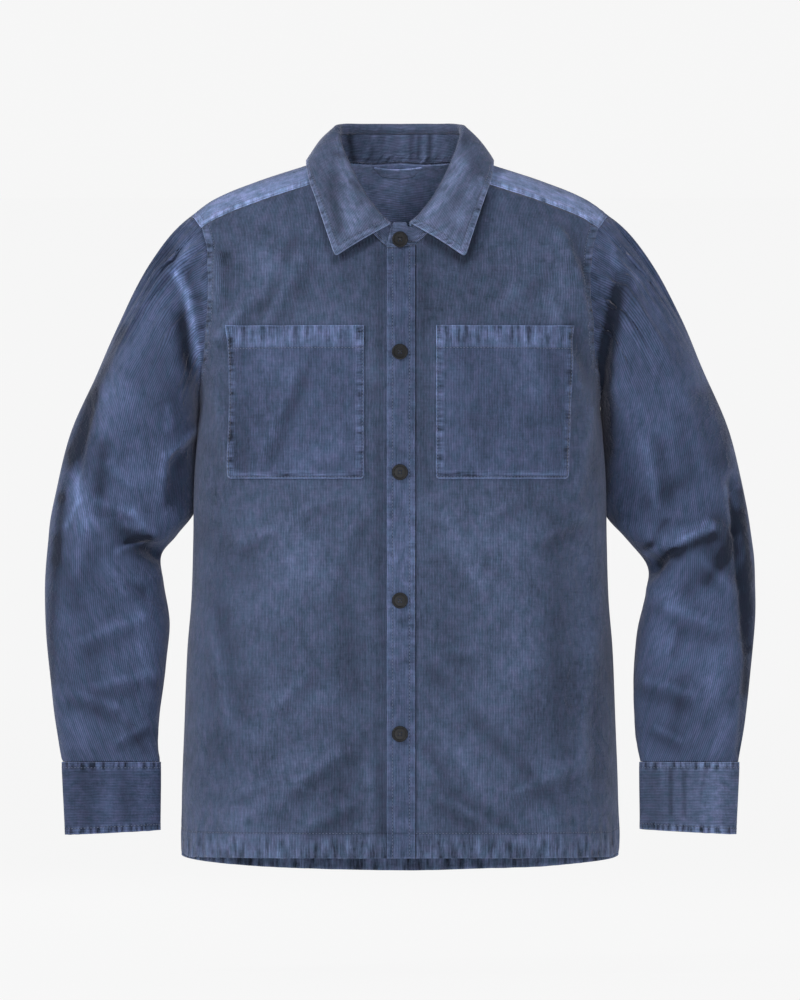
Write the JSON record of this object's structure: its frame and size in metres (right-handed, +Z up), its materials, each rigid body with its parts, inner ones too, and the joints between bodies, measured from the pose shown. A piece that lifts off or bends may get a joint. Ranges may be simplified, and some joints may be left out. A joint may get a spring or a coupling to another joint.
{
  "type": "shacket",
  "caption": "Corduroy overshirt with a pointed collar, buttoned placket, chest patch pockets, yoke and long sleeves with buttoned cuffs, filled out as worn.",
  "frame": {"origin": "middle of the neck opening, at the height of the shoulder line", "axes": "+Z up, the front faces -Y, the wearer's left is +X"},
  "size_m": [0.7559, 0.2562, 0.7985],
  "materials": {
    "body_cloth": "fine washed corduroy",
    "trim_cloth": "fine washed corduroy",
    "sleeve_cloth": "fine washed corduroy",
    "collar_cloth": "fine washed corduroy",
    "button": "matt, slightly worn"
  },
  "bodies": {
    "root": {"right_front": "body_cloth", "left_front": "body_cloth", "back": "body_cloth", "yoke": "trim_cloth", "placket": "trim_cloth", "right_pocket": "trim_cloth", "left_pocket": "trim_cloth", "right_sleeve": "sleeve_cloth", "left_sleeve": "sleeve_cloth", "right_cuff": "trim_cloth", "left_cuff": "trim_cloth", "collar_stand": "trim_cloth", "collar": "collar_cloth", "hanger_loop": "trim_cloth", "front_button_1": "button", "front_button_2": "button", "front_button_3": "button", "front_button_4": "button", "front_button_5": "button", "right_cuff_button": "button", "left_cuff_button": "button"}
  },
  "joints": []
}
